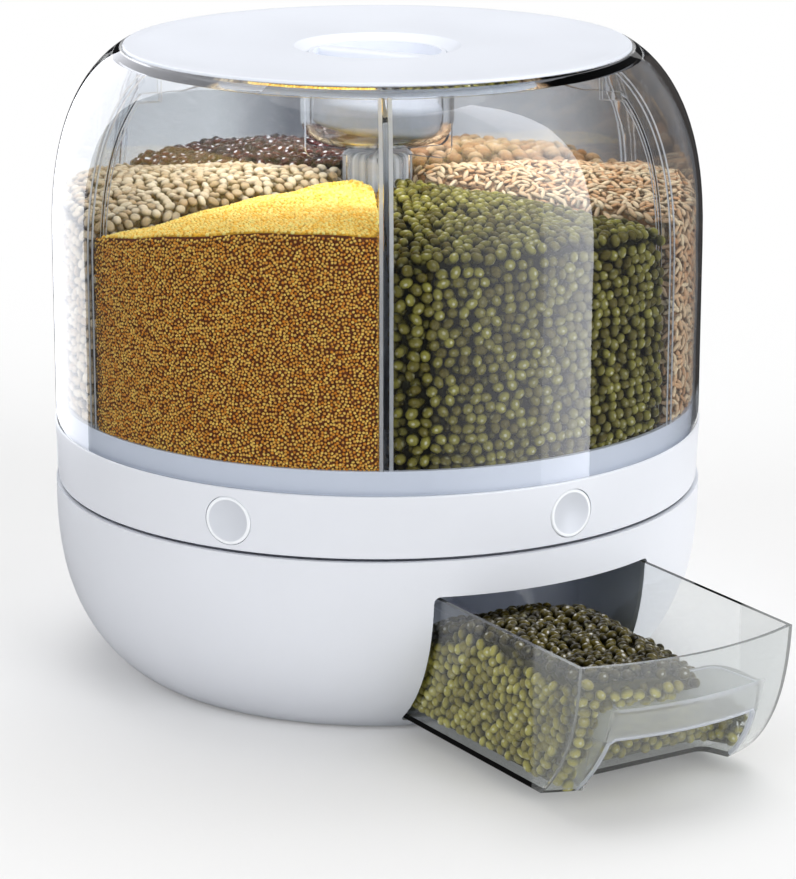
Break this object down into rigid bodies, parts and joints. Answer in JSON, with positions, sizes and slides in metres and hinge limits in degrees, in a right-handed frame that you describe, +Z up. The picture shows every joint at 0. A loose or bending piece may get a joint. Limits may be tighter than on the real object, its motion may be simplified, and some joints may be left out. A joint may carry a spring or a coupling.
{
  "type": "rotating grain dispenser",
  "caption": "Round countertop grain dispenser: a clear domed drum split into wedge compartments turns on a white bowl base with a pull-out drawer; buttons in the ring release grain.",
  "frame": {"origin": "on the drum's turning axis, in the plane of the foot ring's underside, where the dispenser stands on the table", "axes": "+Z up along the drum's axis; -Y to the front, where the drawer comes out; +X to the right of the drawer"},
  "size_m": [0.32, 0.4326, 0.308],
  "materials": {
    "white_plastic": "satin",
    "button_plastic": "satin",
    "inner_plastic": "matte",
    "clear_plastic": "clear gloss",
    "slide_plastic": "low-friction",
    "grey_rubber": "matte",
    "steel": "zinc-plated",
    "desiccant_fabric": "non-woven"
  },
  "bodies": {
    "base": {"base_bowl": "white_plastic", "base_plate": "inner_plastic", "foot_ring": "grey_rubber", "base_screws": "steel", "drawer_bay": "inner_plastic", "turntable_deck": "inner_plastic", "discharge_chute": "inner_plastic", "glide_ring": "slide_plastic", "hub_washer": "steel", "hub_screw": "steel"},
    "drum": {"button_ring": "white_plastic", "bin_floor": "white_plastic", "ring_screws": "steel", "grain_barrel": "clear_plastic", "centre_column": "clear_plastic", "divider_1": "clear_plastic", "divider_2": "clear_plastic", "divider_3": "clear_plastic", "divider_4": "clear_plastic", "divider_5": "clear_plastic", "divider_6": "clear_plastic"},
    "drawer": {"grain_drawer": "clear_plastic"},
    "lid": {"lid": "white_plastic", "lid_gasket": "grey_rubber", "desiccant_cup": "clear_plastic", "desiccant_pack": "desiccant_fabric"},
    "knob": {"lid_knob": "white_plastic"},
    "push_1": {"button_1": "button_plastic", "gate_1": "slide_plastic"},
    "push_2": {"button_2": "button_plastic", "gate_2": "slide_plastic"},
    "push_3": {"button_3": "button_plastic", "gate_3": "slide_plastic"},
    "push_4": {"button_4": "button_plastic", "gate_4": "slide_plastic"},
    "push_5": {"button_5": "button_plastic", "gate_5": "slide_plastic"},
    "push_6": {"button_6": "button_plastic", "gate_6": "slide_plastic"}
  },
  "joints": [
    {"name": "drum_turn", "type": "hinge", "parent": "base", "child": "drum", "pos_m": [0, 0, 0.09], "axis": [0, 0, 1], "continuous": true},
    {"name": "drawer_slide", "type": "slide", "parent": "base", "child": "drawer", "axis": [0, -1, 0], "range_m": [-0.113, 0.067]},
    {"name": "lid_lift", "type": "slide", "parent": "drum", "child": "lid", "axis": [0, 0, 1], "range_m": [0, 0.08]},
    {"name": "knob_turn", "type": "hinge", "parent": "lid", "child": "knob", "pos_m": [0, 0, 0.295], "axis": [0, 0, 1], "range_deg": [0, 90]},
    {"name": "button_1_press", "type": "slide", "parent": "drum", "child": "push_1", "axis": [-0.0506, 0.9987, 0], "range_m": [0, 0.009], "stiffness_N_per_m": 400, "springref_m": -0.003},
    {"name": "button_2_press", "type": "slide", "parent": "drum", "child": "push_2", "axis": [-0.8902, 0.4555, 0], "range_m": [0, 0.009], "stiffness_N_per_m": 400, "springref_m": -0.003},
    {"name": "button_3_press", "type": "slide", "parent": "drum", "child": "push_3", "axis": [-0.8396, -0.5432, 0], "range_m": [0, 0.009], "stiffness_N_per_m": 400, "springref_m": -0.003},
    {"name": "button_4_press", "type": "slide", "parent": "drum", "child": "push_4", "axis": [0.0506, -0.9987, 0], "range_m": [0, 0.009], "stiffness_N_per_m": 400, "springref_m": -0.003},
    {"name": "button_5_press", "type": "slide", "parent": "drum", "child": "push_5", "axis": [0.8902, -0.4555, 0], "range_m": [0, 0.009], "stiffness_N_per_m": 400, "springref_m": -0.003},
    {"name": "button_6_press", "type": "slide", "parent": "drum", "child": "push_6", "axis": [0.8396, 0.5432, 0], "range_m": [0, 0.009], "stiffness_N_per_m": 400, "springref_m": -0.003}
  ]
}
